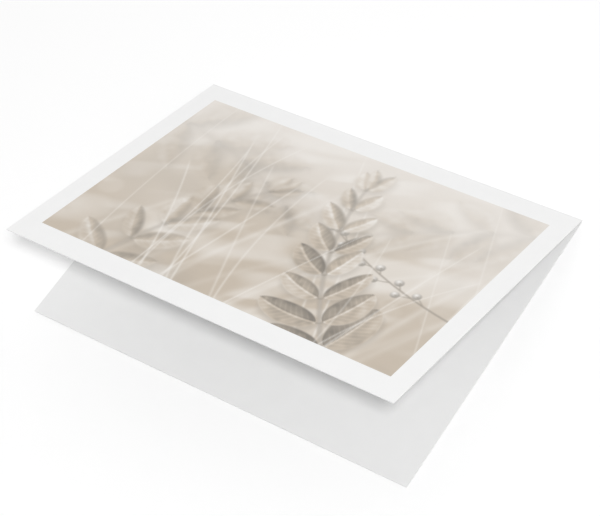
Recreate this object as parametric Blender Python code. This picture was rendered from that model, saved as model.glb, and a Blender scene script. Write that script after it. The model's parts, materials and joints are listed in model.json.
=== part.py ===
"""A landscape greeting card: one sheet of white card stock, folded along its top edge.

The card lies on its back leaf, with the front leaf standing a little open.
Metres, +Z up. X runs along the fold, the leaves reach from the fold towards -Y,
and the origin is on the surface that the card lies on, under the middle of the card.
"""

import math

import bmesh
import bpy
from mathutils import Matrix, Vector

# The folded card, a standard 7 by 5 inch leaf.
LEAF_WIDTH = 0.1778
LEAF_HEIGHT = 0.1270
STOCK_THICKNESS = 0.0004

# The fold: how far the leaves stand apart when shut, and how far the front leaf is open now.
SHUT_GAP = 0.0003
OPEN_ANGLE = math.radians(20.4)

# The creased strip of the sheet between the leaves, with the straight run at each side of its bend.
STRIP_TAIL = 0.0012
PIECE_GAP = 0.0003
BEND_STEPS = 20

# The printed area on the front, inside a plain border.
BORDER_SIDE = 0.0085
BORDER_FOLD = 0.0099
BORDER_FREE = 0.0108

# The bend runs round the fold axis, from the outer face of one leaf to the outer face of the other.
BEND_INNER = SHUT_GAP / 2
BEND_OUTER = BEND_INNER + STOCK_THICKNESS
AXIS_Y = LEAF_HEIGHT / 2 - BEND_OUTER
AXIS_Z = BEND_OUTER

# How far a leaf's own solid is from the fold axis, near edge and free edge.
LEAF_NEAR = STRIP_TAIL + PIECE_GAP
LEAF_FAR = AXIS_Y + LEAF_HEIGHT / 2

PAPER_COLOUR = (0.90, 0.90, 0.89)
PRINT_COLOUR = (0.60, 0.52, 0.44)


def clear_scene():
    for obj in list(bpy.data.objects):
        bpy.data.objects.remove(obj, do_unlink=True)


def make_material(name, colour, roughness):
    material = bpy.data.materials.new(name)
    material.use_nodes = True
    shader = material.node_tree.nodes["Principled BSDF"]
    shader.inputs["Base Color"].default_value = (*colour, 1.0)
    shader.inputs["Roughness"].default_value = roughness
    shader.inputs["Metallic"].default_value = 0.0
    material.diffuse_color = (*colour, 1.0)
    return material


def add_object(name, bm, materials, parent=None):
    """One named object from a bmesh that is drawn in its parent's frame."""
    bmesh.ops.recalc_face_normals(bm, faces=bm.faces)
    mesh = bpy.data.meshes.new(name)
    bm.to_mesh(mesh)
    bm.free()
    for material in materials:
        mesh.materials.append(material)
    obj = bpy.data.objects.new(name, mesh)
    bpy.context.collection.objects.link(obj)
    obj.parent = parent
    return obj


def add_fold_frame(name, turn):
    """An empty on the fold axis. Its -Y runs along the front leaf, and its +Z faces out of the print."""
    empty = bpy.data.objects.new(name, None)
    empty.empty_display_size = LEAF_HEIGHT / 4
    empty.matrix_world = Matrix.Translation((0, AXIS_Y, AXIS_Z)) @ Matrix.Rotation(turn, 4, "X")
    bpy.context.collection.objects.link(empty)
    return empty


def plate(low, high):
    """A flat plate between two corners."""
    bm = bmesh.new()
    bmesh.ops.create_cube(bm, size=1.0)
    size = Vector(high) - Vector(low)
    middle = (Vector(high) + Vector(low)) / 2
    bmesh.ops.scale(bm, vec=size, verts=bm.verts)
    bmesh.ops.translate(bm, vec=middle, verts=bm.verts)
    return bm


def make_back_leaf(paper):
    """The leaf that the card lies on."""
    half = LEAF_WIDTH / 2
    bm = plate(
        (-half, AXIS_Y - LEAF_FAR, 0.0),
        (half, AXIS_Y - LEAF_NEAR, STOCK_THICKNESS),
    )
    return add_object("back_leaf", bm, [paper])


def make_front_leaf(paper, ink, hinge):
    """The leaf with the print, drawn shut in the hinge's frame and turned open by it."""
    half = LEAF_WIDTH / 2
    bm = plate((-half, -LEAF_FAR, BEND_INNER), (half, -LEAF_NEAR, BEND_OUTER))
    outer = max(bm.faces, key=lambda face: face.calc_center_median().z)
    bmesh.ops.inset_region(bm, faces=[outer], thickness=BORDER_SIDE)
    print_free_edge = -LEAF_FAR + BORDER_FREE
    print_fold_edge = BEND_OUTER - BORDER_FOLD
    middle = -(LEAF_NEAR + LEAF_FAR) / 2
    for vertex in outer.verts:
        vertex.co.y = print_free_edge if vertex.co.y < middle else print_fold_edge
    outer.material_index = 1
    return add_object("front_leaf", bm, [paper, ink], hinge)


def bend_section():
    """The creased strip's outline across the fold, as (y, z) from the fold axis."""
    start = math.radians(-90)
    sweep = math.pi - OPEN_ANGLE
    turns = [start + sweep * step / BEND_STEPS for step in range(BEND_STEPS + 1)]

    def arc(radius, angles):
        return [(radius * math.cos(angle), radius * math.sin(angle)) for angle in angles]

    def tail(radius, angle, side):
        """The end of the straight run that leaves the bend at an angle."""
        foot_y, foot_z = arc(radius, [angle])[0]
        along = (-side * math.sin(angle), side * math.cos(angle))
        return (foot_y + STRIP_TAIL * along[0], foot_z + STRIP_TAIL * along[1])

    first, last = turns[0], turns[-1]
    outside = [tail(BEND_OUTER, first, -1), *arc(BEND_OUTER, turns), tail(BEND_OUTER, last, 1)]
    inside = [tail(BEND_INNER, last, 1), *arc(BEND_INNER, reversed(turns)), tail(BEND_INNER, first, -1)]
    return outside + inside


def make_fold_strip(paper):
    """The narrow creased strip that joins the leaves and bends as the card opens."""
    half = LEAF_WIDTH / 2
    bm = bmesh.new()
    section = [bm.verts.new((-half, AXIS_Y + y, AXIS_Z + z)) for y, z in bend_section()]
    end = bm.faces.new(section)
    swept = bmesh.ops.extrude_face_region(bm, geom=[end])
    moved = [item for item in swept["geom"] if isinstance(item, bmesh.types.BMVert)]
    bmesh.ops.translate(bm, vec=(LEAF_WIDTH, 0, 0), verts=moved)
    strip = add_object("fold_strip", bm, [paper])
    strip.data.shade_smooth()
    strip.data.set_sharp_from_angle(angle=math.radians(35))
    return strip


def build():
    clear_scene()
    paper = make_material("white_card_stock", PAPER_COLOUR, 0.62)
    ink = make_material("sepia_print", PRINT_COLOUR, 0.50)
    hinge = add_fold_frame("fold_axis", -OPEN_ANGLE)
    make_back_leaf(paper)
    make_front_leaf(paper, ink, hinge)
    make_fold_strip(paper)
    bpy.context.view_layer.update()


build()
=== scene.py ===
"""The looks of a folded greeting card: one sheet of white card stock with a sepia botanical print."""

import json
import math

import bmesh
import bpy
import numpy as np
from mathutils import Matrix, Vector


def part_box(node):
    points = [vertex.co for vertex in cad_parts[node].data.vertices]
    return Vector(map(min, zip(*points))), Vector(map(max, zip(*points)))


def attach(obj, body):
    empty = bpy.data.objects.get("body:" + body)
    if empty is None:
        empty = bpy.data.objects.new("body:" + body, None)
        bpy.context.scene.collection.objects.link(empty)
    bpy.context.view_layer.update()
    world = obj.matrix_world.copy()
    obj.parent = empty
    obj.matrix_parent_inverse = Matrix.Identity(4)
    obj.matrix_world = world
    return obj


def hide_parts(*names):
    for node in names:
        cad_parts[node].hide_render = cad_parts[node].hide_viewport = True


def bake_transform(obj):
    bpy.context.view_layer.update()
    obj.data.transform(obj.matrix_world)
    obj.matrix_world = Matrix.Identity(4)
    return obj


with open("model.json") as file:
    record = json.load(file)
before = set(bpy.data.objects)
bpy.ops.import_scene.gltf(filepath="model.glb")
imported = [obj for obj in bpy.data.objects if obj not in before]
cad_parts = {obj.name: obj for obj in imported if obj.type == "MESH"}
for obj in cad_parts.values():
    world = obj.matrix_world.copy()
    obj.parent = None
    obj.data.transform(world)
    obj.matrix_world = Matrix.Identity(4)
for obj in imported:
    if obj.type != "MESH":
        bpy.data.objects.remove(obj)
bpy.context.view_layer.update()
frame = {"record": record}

MM = 0.001

# The sheet, read from the frame.
BACK_LOW, BACK_HIGH = (np.array(corner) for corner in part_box("back_leaf"))
FOLD = frame["record"]["behaviour"]["joints"][0]
FOLD_Y, FOLD_Z = FOLD["pos_m"][1:]
OPEN_ANGLE = math.radians(-FOLD["range_deg"][0])
HALF_WIDTH = BACK_HIGH[0]
THICKNESS = BACK_HIGH[2] - BACK_LOW[2]
BEND_OUTER = FOLD_Z - BACK_LOW[2]
BEND_INNER = BEND_OUTER - THICKNESS
LEAF_REACH = FOLD_Y - BACK_LOW[1]
BEND_SWEEP = math.pi - OPEN_ANGLE
BEND_LENGTH = BEND_SWEEP * (BEND_OUTER + BEND_INNER) / 2

# How finely the sheet is cut up, and the sharpest turn between its faces that is still shaded round.
SHEET_COLUMNS = 24
LEAF_ROWS = 16
BEND_ROWS = 24
SMOOTH_TURN = math.radians(40)

# The printed area: its plain borders, its first and last row as distances from the fold axis, the ink's
# height over the paper and depth in it, and its cells.
BORDER_SIDE = 8.45 * MM
BORDER_FOLD = 10.0 * MM
BORDER_FREE = 10.75 * MM
PRINT_HALF = HALF_WIDTH - BORDER_SIDE
PRINT_FIRST = BORDER_FOLD - BEND_OUTER
PRINT_LAST = LEAF_REACH - BORDER_FREE
INK_RISE = 0.012 * MM
INK_DEPTH = 0.010 * MM
PRINT_COLUMNS = 380
PRINT_ROWS = 251

# The print's second UV map, where no two faces overlap. Its picture fills the upper part, and its thin
# walls and its underside lie in strips below. Each wall is given by its strip's upper edge.
MAP_MARGIN = 0.005
MAP_SPAN = 1 - 2 * MAP_MARGIN
WALL_STRIP = 0.005
FOLD_WALL = 0.325
FREE_WALL = 0.315
LEFT_WALL = 0.300
RIGHT_WALL = 0.290
UNDERSIDE_HIGH = 0.260
UNDERSIDE_LOW = 0.020

# Reflectance of the paper's smooth outside, its inside (made darker, as painted shade inside the card) and
# its cut edges, what the painted shade along the crease multiplies it by at most, and how far to each side
# of the crease that shade and the relief of its broken fibres reach.
PAPER_OUTSIDE = (0.870, 0.870, 0.868)
PAPER_INSIDE = (0.800, 0.800, 0.798)
CUT_EDGE = (0.820, 0.820, 0.816)
CREASE_SHADE = 0.82
CREASE_REACH = 0.9 * MM

# How large the marks in the paper's finish are, and how deep those that show as relief.
MOTTLE_SIZE = 7.0 * MM
PATCH_SIZE = 1.6 * MM
FIBRE_SIZE = 0.35 * MM
FELT_SIZE = 1.3 * MM
FELT_DEPTH = 0.010 * MM
GRAIN_SIZE = 0.28 * MM
GRAIN_DEPTH = 0.008 * MM
CRACK_SIZE = 0.16 * MM
CRACK_DEPTH = 0.05 * MM

# The camera, fitted to the corners of the card in the photograph.
CAMERA_AT = (0.3516, -0.2761, 0.5635)
CAMERA_AIM = (0.0095, -0.0064, 0.0200)
CAMERA_ROLL = math.radians(-22.14)
CAMERA_LENS = 111.3
CAMERA_SENSOR = 36.0
CAMERA_NEAREST = 0.01

# The light: a pale surround that is brighter behind the fold, and one round lamp high up beyond the front
# leaf's right free corner.
SURROUND = 0.40
SURROUND_BEHIND = 0.76
BEHIND = (-0.54, 0.84, 0.0)
LAMP_AT = (0.555, -0.373, 0.900)
LAMP_SIZE = 0.171
LAMP_POWER = 5.97

# The surface lies a little under the card, as under stock that isn't quite flat, so that the card's edges
# have a thin line of shadow.
FLOOR_SIZE = 30.0
FLOOR_DROP = 0.40 * MM
FLOOR_ALBEDO = 0.98

# What the print's colours are divided by, so that they look as drawn under this light.
LIGHT_ON_PRINT = 1.04


def srgb_to_linear(value):
    return np.where(value <= 0.04045, value / 12.92, ((value + 0.055) / 1.055) ** 2.4)


def smooth(low, high, value):
    """An even rise from 0 at low to 1 at high. Where low is the greater, it falls with the value."""
    t = np.clip((value - low) / (high - low), 0.0, 1.0)
    return t * t * (3 - 2 * t)


def bell(value, width):
    """1 at nought, and next to nothing from twice the width on."""
    return np.exp(-((value / width) ** 2))


def place_on_arc(base, heading, length, turn, t):
    """The place and heading at a share of the length of a curve that turns evenly."""
    half = turn * t / 2
    chord = length * t * (math.sin(half) / half if abs(half) > 1e-6 else 1.0)
    place = (base[0] + chord * math.cos(heading + half), base[1] + chord * math.sin(heading + half))
    return place, heading + turn * t


class Picture:
    """A soft sepia study of leafy sprigs, worked out by formulas at given points.

    Places and lengths are in millimetres from the print's lower left corner, and angles in radians
    from its lower edge. What is drawn later covers what was drawn before. A soft edge fades from full
    cover to none between soft millimetres inside an outline and as much outside it."""

    UMBER = np.array([0.515, 0.490, 0.456])
    DARK = np.array([0.625, 0.592, 0.550])
    TAN = np.array([0.775, 0.726, 0.664])
    SAND = np.array([0.832, 0.794, 0.745])
    PALE = np.array([0.885, 0.860, 0.832])
    LIGHT = np.array([0.950, 0.938, 0.922])

    # Leaves: the gap from the stem to the blade, the short stalk that bridges it, how pointed the ends are,
    # how much the blade narrows towards its tip, the side veins' spacing and the shadow's shift.
    LEAF_GAP = 1.6
    LEAF_STALK = 2.6
    LEAF_POINTEDNESS = 0.58
    LEAF_TAPER = 0.14
    VEIN_SPACING = 2.5
    SHADOW_SHIFT = (1.3, -1.9)

    # What is drawn softer than this shows no short stalks, and veins fade out between the other two.
    STALKS_GONE = 2.0
    VEINS_GONE = 2.2
    VEINS_CLEAR = 0.4

    def __init__(self, x, y, width, height):
        self.x, self.y = x, y
        self.width, self.height = width, height
        self.colour = np.tile(self.SAND, (len(x), 1))
        self.mottle = self.cloud(size=2.6, seed=8)

    def near(self, place, reach):
        """Which points are within reach of a place, each way."""
        return np.flatnonzero((np.abs(self.x - place[0]) < reach) & (np.abs(self.y - place[1]) < reach))

    def lay(self, colour, amount, at=slice(None)):
        """Covers points by an amount each with a colour, or with a colour of their own."""
        self.colour[at] += (colour - self.colour[at]) * np.clip(amount, 0.0, 1.0)[:, None]

    def cloud(self, size, seed, stretch=1.0, turn=0.0):
        """Smooth noise from 0 to 1 with patches of about that size, drawn out along a turned axis."""
        reach = self.width + self.height
        along = self.x * math.cos(turn) + self.y * math.sin(turn) + reach
        across = self.y * math.cos(turn) - self.x * math.sin(turn) + reach
        u, v = along / (size * stretch), across / size
        i, j = u.astype(int), v.astype(int)
        lattice = np.random.default_rng(seed).random((i.max() + 2, j.max() + 2))
        fu, fv = smooth(0.0, 1.0, u - i), smooth(0.0, 1.0, v - j)
        low = lattice[i, j] * (1 - fu) + lattice[i + 1, j] * fu
        high = lattice[i, j + 1] * (1 - fu) + lattice[i + 1, j + 1] * fu
        return low * (1 - fv) + high * fv

    def on_arc(self, at, base, heading, length, turn):
        """Where points are on a curve that turns evenly: their share of its length, and how far left."""
        dx, dy = self.x[at] - base[0], self.y[at] - base[1]
        ahead = dx * math.cos(heading) + dy * math.sin(heading)
        left = dy * math.cos(heading) - dx * math.sin(heading)
        if abs(turn) < 1e-3:
            return ahead / length, left
        radius = length / turn
        side = math.copysign(1.0, turn)
        swept = np.arctan2(ahead, (radius - left) * side)
        return swept / abs(turn), radius - side * np.hypot(ahead, radius - left)

    def patches(self, colour, amount, low, high, fade=1.0, **form):
        """Patches of a colour where a cloud of the given form is above low, and in full above high."""
        self.lay(colour, amount * smooth(low, high, self.cloud(**form)) * fade)

    def backdrop(self):
        """The ground far out of focus: tan towards the free edge, pale towards the fold, and patchy."""
        rise = self.y / self.height
        run = self.x / self.width
        below = rise + 0.50 * (self.cloud(size=42, seed=1) - 0.5) - 0.12 * run
        above = rise + 0.55 * (self.cloud(size=30, seed=2) - 0.5) + 0.15 * run
        self.lay(self.TAN, 0.95 * smooth(0.85, 0.0, below))
        self.lay(self.PALE, 0.80 * smooth(0.40, 1.05, above))
        lower, lowest = smooth(1.1, 0.3, rise), smooth(1.0, 0.2, rise)
        self.patches(self.LIGHT, 0.48, 0.48, 0.95, size=11, seed=3, stretch=3.2, turn=0.25)
        self.patches(self.TAN, 0.55, 0.50, 0.95, lower, size=10, seed=4, stretch=2.6, turn=0.05)
        self.patches(self.LIGHT, 0.42, 0.55, 0.95, size=6, seed=5, stretch=3.5, turn=0.45)
        self.patches(self.DARK, 0.22, 0.60, 1.00, lowest, size=13, seed=6, stretch=1.8, turn=-0.30)

    def glow(self, place, radius, amount):
        """A round spot of light out of focus."""
        at = self.near(place, radius * 1.3)
        away = np.hypot(self.x[at] - place[0], self.y[at] - place[1])
        self.lay(self.LIGHT, amount * smooth(radius * 1.25, radius * 0.75, away), at)

    def glows(self, count, seed):
        """Spots of light in random places."""
        rng = np.random.default_rng(seed)
        for _ in range(count):
            place = (rng.uniform(0, self.width), rng.uniform(0.15, 1.0) * self.height)
            self.glow(place, radius=rng.uniform(3, 9), amount=rng.uniform(0.06, 0.20))

    def stalk(self, base, heading, length, turn, thickness, soft, colour, amount):
        """A curved stalk that thins towards its tip."""
        at = self.near(base, length + thickness + 2 * soft)
        t, left = self.on_arc(at, base, heading, length, turn)
        half = thickness * (1 - 0.6 * np.clip(t, 0, 1)) / 2
        inside = smooth(soft, -soft, np.abs(left) - half)
        ends = smooth(-0.5 / length, 0.5 / length, t) * smooth(1.02, 0.94, t)
        self.lay(colour, amount * inside * ends, at)

    def blade(self, base, heading, length, breadth, turn, soft, taper=0.0):
        """The points near a leaf's blade: which they are, their shares of its length, how far left of its
        midrib they are, its half breadth beside them, and how far inside its outline they are."""
        at = self.near(base, length + 2 * soft)
        t, left = self.on_arc(at, base, heading, length, turn)
        share = np.clip(t, 1e-4, 1 - 1e-4)
        outline = (4 * share * (1 - share)) ** self.LEAF_POINTEDNESS
        half = breadth / 2 * outline * (1 + taper * (1 - 2 * share))
        inside = np.minimum(half - np.abs(left), np.minimum(t, 1 - t) * length)
        return at, share, left, half, inside

    def leaf(self, base, heading, length, breadth, turn, soft, amount, tone, lit):
        """A rounded leaf with a pale midrib and side veins. lit is 1 or -1 for the half in the light."""
        at, share, left, half, inside = self.blade(
            base, heading, length, breadth, turn, soft, self.LEAF_TAPER
        )
        side = np.clip(left / half, -1.0, 1.0)
        lit_half = 0.19 * np.tanh(1.8 * side * lit)
        dark_rim = 0.12 * np.abs(side) ** 3
        pale_tip = 0.16 * (share - 0.4)
        mottling = 0.22 * (self.mottle[at] - 0.5)
        bright = tone + lit_half - dark_rim + pale_tip + mottling

        crisp = float(smooth(self.VEINS_GONE, self.VEINS_CLEAR, soft))
        phase = (share * length - 0.75 * np.abs(left)) / self.VEIN_SPACING
        veins = bell(phase - np.round(phase), 0.17) * smooth(1.0, 0.6, np.abs(side))
        bright += crisp * (0.08 * veins - 0.03)
        rib_shade = bell(left + 0.6 * lit, 0.5)
        bright -= 0.16 * crisp * rib_shade
        rib = bell(left, max(0.42, soft)) * smooth(1.0, 0.80, share)
        bright += (0.26 * crisp + 0.08) * rib
        lit_edge = bell(inside, max(0.5, soft)) * (side * lit > 0)
        bright += 0.15 * crisp * lit_edge

        low = np.clip(bright * 2, 0, 1)[:, None]
        high = np.clip(bright * 2 - 1, 0, 1)[:, None]
        shade = self.UMBER + (self.TAN - self.UMBER) * low + (self.LIGHT - self.TAN) * high
        self.lay(shade, amount * smooth(-soft, soft, inside), at)

    def leaf_shadow(self, base, heading, length, breadth, turn, soft, amount):
        """The dim patch that a leaf throws on what is behind it."""
        shifted = (base[0] + self.SHADOW_SHIFT[0], base[1] + self.SHADOW_SHIFT[1])
        at, _, _, _, inside = self.blade(shifted, heading, length, breadth, turn, soft)
        self.lay(self.DARK, amount * smooth(-soft, soft, inside), at)

    def bud(self, place, radius, soft, amount):
        """A small round bud, lit from the upper left, with a dark tip."""
        at = self.near(place, radius + 2 * soft)
        dx, dy = (self.x[at] - place[0]) / radius, (self.y[at] - place[1]) / radius
        inside = smooth(1 + soft / radius, 1 - soft / radius, np.hypot(dx, dy))
        lit = np.clip(1.05 - 0.62 * np.hypot(dx + 0.35, dy - 0.4), 0, 1)[:, None]
        self.lay(self.UMBER + (self.LIGHT - self.UMBER) * lit, amount * inside, at)
        tip = smooth(0.34, 0.14, np.hypot(dx - 0.25, dy + 0.1))
        self.lay(self.DARK, 0.7 * amount * tip, at)

    def sprig(self, base, heading, length, turn, pairs, leaf_length, near_soft, far_soft, amount, seed):
        """A curved stem with pairs of rounded leaves that get smaller towards its tip.

        It is drawn out of focus by near_soft millimetres at its base and by far_soft at its tip."""
        rng = np.random.default_rng(seed)
        middle_soft = (near_soft + far_soft) / 2
        self.stalk(base, heading, length, turn, 1.6, middle_soft, self.DARK, 0.85 * amount)
        self.stalk(base, heading, length, turn, 0.4, middle_soft, self.PALE, 0.50 * amount)
        for k in range(pairs):
            t = (k + 0.75) / pairs
            soft = near_soft + (far_soft - near_soft) * t * t
            place, facing = place_on_arc(base, heading, length, turn, min(t, 1.0))
            for side in (1, -1):
                aim = facing + side * (1.15 - 0.55 * t + rng.uniform(-0.2, 0.2))
                size = leaf_length * (1.08 - 0.58 * t) * rng.uniform(0.86, 1.10)
                form = (size, size * rng.uniform(0.40, 0.56), -side * rng.uniform(0.15, 0.6))
                foot, _ = place_on_arc(place, aim, self.LEAF_GAP, 0.0, 1.0)
                self.leaf_shadow(foot, aim, *form, soft + 1.5, 0.34 * amount)
                if soft < self.STALKS_GONE:
                    self.stalk(place, aim, self.LEAF_STALK, 0.0, 0.7, soft, self.DARK, 0.8 * amount)
                self.leaf(foot, aim, *form, soft, amount, tone=rng.uniform(0.28, 0.60), lit=side)
        place, facing = place_on_arc(base, heading, length, turn, 0.99)
        size = leaf_length * 0.5
        self.leaf(place, facing, size, size * 0.42, 0.3, far_soft, amount, tone=0.5, lit=1)

    def bud_sprig(self, base, heading, length, turn, count, soft, amount, seed):
        """A thin stem with round buds on short stalks."""
        rng = np.random.default_rng(seed)
        self.stalk(base, heading, length, turn, 0.9, soft, self.DARK, 0.85 * amount)
        for k in range(count):
            t = 0.25 + 0.72 * (k + 0.5) / count
            place, facing = place_on_arc(base, heading, length, turn, t)
            side = 1 if k % 2 else -1
            aim = facing + side * rng.uniform(0.45, 0.85)
            reach = rng.uniform(4.0, 7.5) * (1.15 - 0.4 * t)
            arc = (aim, reach, -0.3 * side)
            self.stalk(place, *arc, 0.55, soft, self.DARK, 0.8 * amount)
            tip, _ = place_on_arc(place, *arc, 1.0)
            self.bud(tip, rng.uniform(1.4, 2.0), soft, amount)

    def grasses(self, count, seed, base_x, heading, length, thickness, soft, amount):
        """Plain pale grass stems from below the print's lower edge that lean much the same way."""
        rng = np.random.default_rng(seed)
        for _ in range(count):
            base = (rng.uniform(*base_x), rng.uniform(-14, -4))
            arc = (heading + rng.uniform(-0.20, 0.20), rng.uniform(*length), rng.uniform(-0.55, 0.25))
            breadth = thickness * rng.uniform(0.8, 1.3)
            blur = soft * rng.uniform(0.9, 1.4)
            self.stalk(base, *arc, breadth, blur, self.LIGHT, amount * rng.uniform(0.5, 1.0))

    def haze(self):
        """The pale light that veils the picture towards the fold."""
        height = self.y / self.height + 0.4 * (self.cloud(size=40, seed=7) - 0.5)
        self.lay(self.LIGHT, 0.46 * smooth(0.42, 1.1, height))

    def draw(self):
        """The whole picture, from the ground to the haze. Gives each point's colour in sRGB."""
        self.backdrop()
        self.glows(count=14, seed=11)
        self.sprig(
            base=(-12, 88), heading=-0.10, length=92, turn=-0.45, pairs=5, leaf_length=32,
            near_soft=4.5, far_soft=4.0, amount=0.42, seed=21,
        )
        self.sprig(
            base=(172, 100), heading=3.45, length=76, turn=0.45, pairs=5, leaf_length=28,
            near_soft=3.4, far_soft=3.0, amount=0.40, seed=22,
        )
        self.grasses(
            count=16, seed=30, base_x=(-10, 150), heading=1.25, length=(60, 125),
            thickness=2.2, soft=1.6, amount=0.32,
        )
        self.sprig(
            base=(30, -14), heading=1.45, length=88, turn=-0.50, pairs=6, leaf_length=23,
            near_soft=1.1, far_soft=2.4, amount=0.72, seed=23,
        )
        self.grasses(
            count=13, seed=31, base_x=(10, 190), heading=1.90, length=(80, 130),
            thickness=0.60, soft=0.52, amount=0.80,
        )
        self.bud_sprig(
            base=(174, 34), heading=3.05, length=92, turn=-0.50, count=11, soft=0.50, amount=0.95, seed=24,
        )
        self.sprig(
            base=(140, -9), heading=2.35, length=112, turn=-0.62, pairs=8, leaf_length=25,
            near_soft=0.48, far_soft=1.6, amount=1.0, seed=25,
        )
        self.grasses(
            count=6, seed=32, base_x=(40, 150), heading=1.50, length=(70, 110),
            thickness=0.55, soft=0.50, amount=0.75,
        )
        self.haze()
        return np.clip(self.colour, 0.0, 1.0)


def on_front(s, radius):
    """The (y, z) on the front leaf at a distance down it from the fold and a radius from the fold axis."""
    y = FOLD_Y - s * math.cos(OPEN_ANGLE) + radius * math.sin(OPEN_ANGLE)
    z = FOLD_Z + s * math.sin(OPEN_ANGLE) + radius * math.cos(OPEN_ANGLE)
    return y, z


def across_fold(radius):
    """Rows across the whole sheet at a radius from the fold axis, each (y, z, run along the sheet)."""
    steps = np.linspace(0.0, LEAF_REACH, LEAF_ROWS + 1)
    rows = [(FOLD_Y - s, FOLD_Z - radius, -s - BEND_LENGTH / 2) for s in steps[::-1]]
    for k in range(1, BEND_ROWS):
        turn = -math.pi / 2 + BEND_SWEEP * k / BEND_ROWS
        run = BEND_LENGTH * (k / BEND_ROWS - 0.5)
        rows.append((FOLD_Y + radius * math.cos(turn), FOLD_Z + radius * math.sin(turn), run))
    rows += [(*on_front(s, radius), s + BEND_LENGTH / 2) for s in steps]
    return rows


class Shell:
    """Collects a closed mesh's points and faces, with the places of each face's corners in its UV maps."""

    def __init__(self, *map_names):
        self.points = []
        self.faces = []
        self.slots = []
        self.maps = {name: [] for name in map_names}

    def add_face(self, corners, slot=0, **places):
        """A face by its points' numbers, its material's slot, and its corners' places in each UV map."""
        self.faces.append(corners)
        self.slots.append(slot)
        for name, corner_places in places.items():
            self.maps[name] += corner_places

    def make(self, name):
        mesh = bpy.data.meshes.new(name)
        mesh.from_pydata(self.points, [], self.faces)
        mesh.polygons.foreach_set("material_index", self.slots)
        for map_name, places in self.maps.items():
            layer = mesh.uv_layers.new(name=map_name)
            layer.data.foreach_set("uv", np.array(places, np.float32).ravel())
        bm = bmesh.new()
        bm.from_mesh(mesh)
        bmesh.ops.recalc_face_normals(bm, faces=bm.faces)
        bm.to_mesh(mesh)
        bm.free()
        obj = bpy.data.objects.new(name, mesh)
        bpy.context.collection.objects.link(obj)
        return obj


def build_sheet():
    """The whole card as one closed sheet, folded round the axis. Its UV map is its surface in metres.

    Slot 0 is the outside, slot 1 the inside and slot 2 the cut edges."""
    columns = np.linspace(-HALF_WIDTH, HALF_WIDTH, SHEET_COLUMNS + 1)
    outer, inner = across_fold(BEND_OUTER), across_fold(BEND_INNER)
    count, rows = len(columns), len(outer)
    inside_map_shift = 0.5
    shell = Shell("sheet")
    for y, z, _ in outer + inner:
        shell.points += [(x, y, z) for x in columns]

    def corner(side, row, column):
        return (side * rows + row) * count + column

    def place(row, column, aside=0.0, beyond=0.0):
        return columns[column] + HALF_WIDTH + aside, outer[row][2] + beyond

    def add_edge(a, b, aside=0.0, beyond=0.0):
        """One face of the cut edge, between two neighbouring places on the sheet's rim."""
        places = [place(*a), place(*b)]
        places += [place(*at, aside, beyond) for at in (b, a)]
        shell.add_face([corner(0, *a), corner(0, *b), corner(1, *b), corner(1, *a)], 2, sheet=places)

    for row in range(rows - 1):
        for column in range(count - 1):
            around = [(row, column), (row, column + 1), (row + 1, column + 1), (row + 1, column)]
            for side in (0, 1):
                places = [place(*at, aside=side * inside_map_shift) for at in around]
                shell.add_face([corner(side, *at) for at in around], side, sheet=places)
    for row, outwards in ((0, -1), (rows - 1, 1)):
        for column in range(count - 1):
            add_edge((row, column), (row, column + 1), beyond=outwards * THICKNESS)
    for column, outwards in ((0, -1), (count - 1, 1)):
        for row in range(rows - 1):
            add_edge((row, column), (row + 1, column), aside=outwards * THICKNESS)
    card = shell.make("card")
    card.data.shade_smooth()
    card.data.set_sharp_from_angle(angle=SMOOTH_TURN)
    return card


def print_colours(columns, steps):
    """The picture's colour in linear light at each point of the print's top, row by row from the fold."""
    grid_x, grid_s = np.meshgrid(columns, steps)
    picture = Picture(
        (grid_x.ravel() + PRINT_HALF) / MM,
        (PRINT_LAST - grid_s.ravel()) / MM,
        2 * PRINT_HALF / MM,
        (PRINT_LAST - PRINT_FIRST) / MM,
    )
    return srgb_to_linear(picture.draw()) / LIGHT_ON_PRINT


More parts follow.
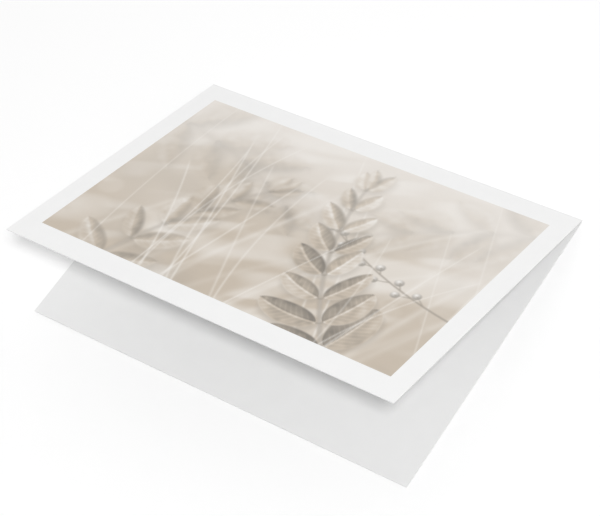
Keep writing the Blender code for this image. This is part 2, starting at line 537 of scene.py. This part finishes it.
def build_print():
    """The ink as a thin slab let into the paper. A fine grid of points on top carries the picture."""
    columns = np.linspace(-PRINT_HALF, PRINT_HALF, PRINT_COLUMNS + 1)
    steps = np.linspace(PRINT_FIRST, PRINT_LAST, PRINT_ROWS + 1)
    count = len(columns)
    shell = Shell("sheet", "OFBake")
    for s in steps:
        y, z = on_front(s, BEND_OUTER + INK_RISE)
        shell.points += [(x, y, z) for x in columns]
    base = len(shell.points)
    for s in (steps[0], steps[-1]):
        y, z = on_front(s, BEND_OUTER - INK_DEPTH)
        shell.points += [(x, y, z) for x in columns]
    last = PRINT_ROWS * count

    def across(column):
        return MAP_MARGIN + MAP_SPAN * column / PRINT_COLUMNS

    def down(row):
        return MAP_SPAN * (PRINT_LAST - PRINT_FIRST) / (2 * PRINT_HALF) * row / PRINT_ROWS

    def add(corners, bake):
        """A face by its points' numbers, and its corners' places in the second UV map."""
        places = []
        for corner in corners:
            row = corner // count if corner < base else (corner - base) // count * PRINT_ROWS
            places.append((columns[corner % count] + HALF_WIDTH, steps[row] + BEND_LENGTH / 2))
        shell.add_face(corners, sheet=places, OFBake=bake)

    def add_quad(corners, column, high, low):
        left, right = across(column), across(column + 1)
        add(corners, [(left, high), (right, high), (right, low), (left, low)])

    for row in range(PRINT_ROWS):
        high = 1 - MAP_MARGIN - down(row)
        low = 1 - MAP_MARGIN - down(row + 1)
        for column in range(PRINT_COLUMNS):
            first = row * count + column
            add_quad([first, first + 1, first + count + 1, first + count], column, high, low)
    for column in range(PRINT_COLUMNS):
        top, free = base + column, base + count + column
        add_quad([column, column + 1, top + 1, top], column, FOLD_WALL, FOLD_WALL - WALL_STRIP)
        rim = last + column
        add_quad([rim, rim + 1, free + 1, free], column, FREE_WALL, FREE_WALL - WALL_STRIP)
        add_quad([top, top + 1, free + 1, free], column, UNDERSIDE_HIGH, UNDERSIDE_LOW)
    for edge, high in ((0, LEFT_WALL), (PRINT_COLUMNS, RIGHT_WALL)):
        top, free = base + edge, base + count + edge
        low = high - WALL_STRIP
        end = MAP_MARGIN + down(PRINT_ROWS)
        for row in range(PRINT_ROWS):
            start, stop = MAP_MARGIN + down(row), MAP_MARGIN + down(row + 1)
            wall = [top, row * count + edge, (row + 1) * count + edge]
            add(wall, [(MAP_MARGIN, low), (start, high), (stop, high)])
        add([top, last + edge, free], [(MAP_MARGIN, low), (end, high), (end, low)])

    shown = print_colours(columns, steps)
    shown = np.vstack([shown, shown[:count], shown[-count:]])
    colours = np.hstack([shown, np.ones((len(shown), 1))]).astype(np.float32)
    ink = shell.make("front_print")
    layer = ink.data.attributes.new("print_colour", "FLOAT_COLOR", "POINT")
    layer.data.foreach_set("color", colours.ravel())
    return ink


class Nodes:
    """Adds and links a material's shader nodes."""

    def __init__(self, name):
        self.material = bpy.data.materials.new(name)
        self.material.use_nodes = True
        self.tree = self.material.node_tree
        self.shader = self.tree.nodes["Principled BSDF"]

    def put(self, socket, value):
        """Links an input to a socket, or sets it to a value."""
        if isinstance(value, bpy.types.NodeSocket):
            self.tree.links.new(value, socket)
        else:
            socket.default_value = value

    def add(self, kind, inputs, **settings):
        """A node with its settings, and its inputs set to values or linked to sockets."""
        node = self.tree.nodes.new(kind)
        for key, value in settings.items():
            setattr(node, key, value)
        for key, value in inputs.items():
            self.put(node.inputs[key], value)
        return node

    def set(self, **inputs):
        """Values or sockets for the shader's own inputs, named with underscores for spaces."""
        for key, value in inputs.items():
            self.put(self.shader.inputs[key.replace("_", " ")], value)

    def on_sheet(self):
        return self.add("ShaderNodeUVMap", {}, uv_map="sheet").outputs["UV"]

    def noise(self, size, detail=2.0, roughness=0.5):
        """Noise on the sheet's own surface, with patches about size metres across."""
        inputs = {"Vector": self.on_sheet(), "Scale": 1 / size, "Detail": detail, "Roughness": roughness}
        return self.add("ShaderNodeTexNoise", inputs, noise_dimensions="2D").outputs["Fac"]

    def ranged(self, value, source, target):
        """A value moved from one (low, high) range to another, and held within it."""
        inputs = {
            "Value": value,
            "From Min": source[0],
            "From Max": source[1],
            "To Min": target[0],
            "To Max": target[1],
        }
        return self.add("ShaderNodeMapRange", inputs).outputs["Result"]

    def times(self, first, second):
        return self.add("ShaderNodeMath", {0: first, 1: second}, operation="MULTIPLY").outputs[0]

    def scaled(self, colour, factor):
        return self.add("ShaderNodeVectorMath", {0: colour, "Scale": factor}, operation="SCALE").outputs[0]

    def near_crease(self):
        """1 on the crease, falling to 0 a little way to each side of it."""
        run = self.add("ShaderNodeSeparateXYZ", {0: self.on_sheet()}).outputs["Y"]
        away = self.add("ShaderNodeMath", {0: run}, operation="ABSOLUTE").outputs[0]
        return self.ranged(away, (0.4 * CREASE_REACH, CREASE_REACH), (1.0, 0.0))

    def bump(self, height, distance, strength, under=None):
        """Relief, on top of the relief under it if there is any."""
        inputs = {"Strength": strength, "Distance": distance, "Height": height}
        if under is not None:
            inputs["Normal"] = under
        return self.add("ShaderNodeBump", inputs).outputs["Normal"]


def paper_finish(nodes, colour, roughness, tooth):
    """Smooth matt card: faint mottling and fine fibre in its colour, its roughness and its surface."""
    mottle = nodes.ranged(nodes.noise(MOTTLE_SIZE, 3.0), (0.3, 0.7), (0.995, 1.005))
    fibre = nodes.ranged(nodes.noise(FIBRE_SIZE, 4.0, 0.65), (0.25, 0.75), (0.988, 1.012))
    patches = nodes.ranged(nodes.noise(PATCH_SIZE, 3.0), (0.3, 0.7), (roughness - 0.05, roughness + 0.05))
    felt = nodes.bump(nodes.noise(FELT_SIZE, 2.0), FELT_DEPTH, tooth)
    grain = nodes.bump(nodes.noise(GRAIN_SIZE, 4.0, 0.7), GRAIN_DEPTH, tooth, felt)
    nodes.set(
        Base_Color=nodes.scaled(colour, nodes.times(mottle, fibre)),
        Roughness=patches,
        Normal=grain,
        Specular_IOR_Level=0.35,
    )
    return grain


def card_stock(name, colour, roughness):
    """White stock, with the relief of broken fibres along the crease, and painted shade that darkens its
    colour there.
    """
    nodes = Nodes(name)
    crease_cracks_and_shade = nodes.times(nodes.near_crease(), nodes.noise(CRACK_SIZE, 3.0, 0.7))
    # Painted shade: the crease's cracks also darken the stock's colour along it, as well as giving it
    # relief.
    painted_crease_shade = nodes.ranged(crease_cracks_and_shade, (0.0, 1.0), (1.0, CREASE_SHADE))
    grain = paper_finish(nodes, nodes.scaled(colour, painted_crease_shade), roughness, tooth=0.8)
    nodes.set(Normal=nodes.bump(crease_cracks_and_shade, CRACK_DEPTH, 0.7, grain))
    return nodes.material


def cut_edge():
    nodes = Nodes("cut_edge")
    paper_finish(nodes, CUT_EDGE, roughness=0.80, tooth=1.0)
    return nodes.material


def printed_ink():
    """Ink on the paper, a little less matt than it. Its colour is the picture that its points carry."""
    nodes = Nodes("sepia_print")
    picture = nodes.add("ShaderNodeAttribute", {}, attribute_name="print_colour").outputs["Color"]
    paper_finish(nodes, picture, roughness=0.50, tooth=0.5)
    return nodes.material


def make_card():
    card = build_sheet()
    card.data.materials.append(card_stock("smooth_white_stock", PAPER_OUTSIDE, roughness=0.60))
    # The inside's stock has a darker colour, which paints the shade that falls inside the card; it is also
    # more matt.
    card.data.materials.append(card_stock("matt_inside_stock_painted_shade", PAPER_INSIDE, roughness=0.75))
    card.data.materials.append(cut_edge())

    # The sheet turns from one leaf to the other as it passes the axis, between the two inner faces.
    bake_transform(card)
    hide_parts("back_leaf", "front_leaf", "fold_strip")


def make_print():
    ink = build_print()
    ink.data.materials.append(printed_ink())
    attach(ink, "front")


def make_floor():
    half = FLOOR_SIZE / 2
    height = BACK_LOW[2] - FLOOR_DROP
    corners = [(-half, -half, height), (half, -half, height), (half, half, height), (-half, half, height)]
    mesh = bpy.data.meshes.new("floor")
    mesh.from_pydata(corners, [], [(0, 1, 2, 3)])
    nodes = Nodes("pale_floor")
    nodes.set(
        Base_Color=(FLOOR_ALBEDO, FLOOR_ALBEDO, FLOOR_ALBEDO, 1.0),
        Roughness=1.0,
        Specular_IOR_Level=0.0,
    )
    mesh.materials.append(nodes.material)
    floor = bpy.data.objects.new("floor", mesh)
    bpy.context.collection.objects.link(floor)


def make_surround():
    """A pale world whose strength rises towards one side."""
    world = bpy.data.worlds.new("surround")
    world.use_nodes = True
    tree = world.node_tree
    direction = tree.nodes.new("ShaderNodeTexCoord")
    facing = tree.nodes.new("ShaderNodeVectorMath")
    facing.operation = "DOT_PRODUCT"
    facing.inputs[1].default_value = Vector(BEHIND).normalized()
    rise = tree.nodes.new("ShaderNodeMapRange")
    rise.inputs["To Min"].default_value = SURROUND
    rise.inputs["To Max"].default_value = SURROUND + SURROUND_BEHIND
    background = tree.nodes["Background"]
    background.inputs["Color"].default_value = (1.0, 1.0, 1.0, 1.0)
    tree.links.new(direction.outputs["Generated"], facing.inputs[0])
    tree.links.new(facing.outputs["Value"], rise.inputs["Value"])
    tree.links.new(rise.outputs["Result"], background.inputs["Strength"])
    bpy.context.scene.world = world


def make_lamp():
    """A round lamp whose light doesn't weaken with distance."""
    lamp = bpy.data.lights.new("soft_lamp", "AREA")
    lamp.shape = "DISK"
    lamp.size = LAMP_SIZE
    lamp.energy = LAMP_POWER
    lamp.use_nodes = True
    tree = lamp.node_tree
    falloff = tree.nodes.new("ShaderNodeLightFalloff")
    falloff.inputs["Strength"].default_value = 1.0
    tree.links.new(falloff.outputs["Constant"], tree.nodes["Emission"].inputs["Strength"])
    holder = bpy.data.objects.new("soft_lamp", lamp)
    holder.location = LAMP_AT
    holder.rotation_mode = "QUATERNION"
    holder.rotation_quaternion = (-Vector(LAMP_AT)).to_track_quat("-Z", "Y")
    bpy.context.collection.objects.link(holder)


def make_camera():
    data = bpy.data.cameras.new("camera")
    data.sensor_width = CAMERA_SENSOR
    data.lens = CAMERA_LENS
    data.clip_start = CAMERA_NEAREST
    camera = bpy.data.objects.new("camera", data)
    look = Vector(CAMERA_AIM) - Vector(CAMERA_AT)
    level = look.to_track_quat("-Z", "Y").to_matrix()
    turned = level @ Matrix.Rotation(CAMERA_ROLL, 3, "Z")
    camera.rotation_mode = "QUATERNION"
    camera.rotation_quaternion = turned.to_quaternion()
    camera.location = CAMERA_AT
    bpy.context.collection.objects.link(camera)
    bpy.context.scene.camera = camera


bpy.context.scene.view_settings.view_transform = "Standard"
make_camera()
make_surround()
make_lamp()
make_floor()
make_card()
make_print()
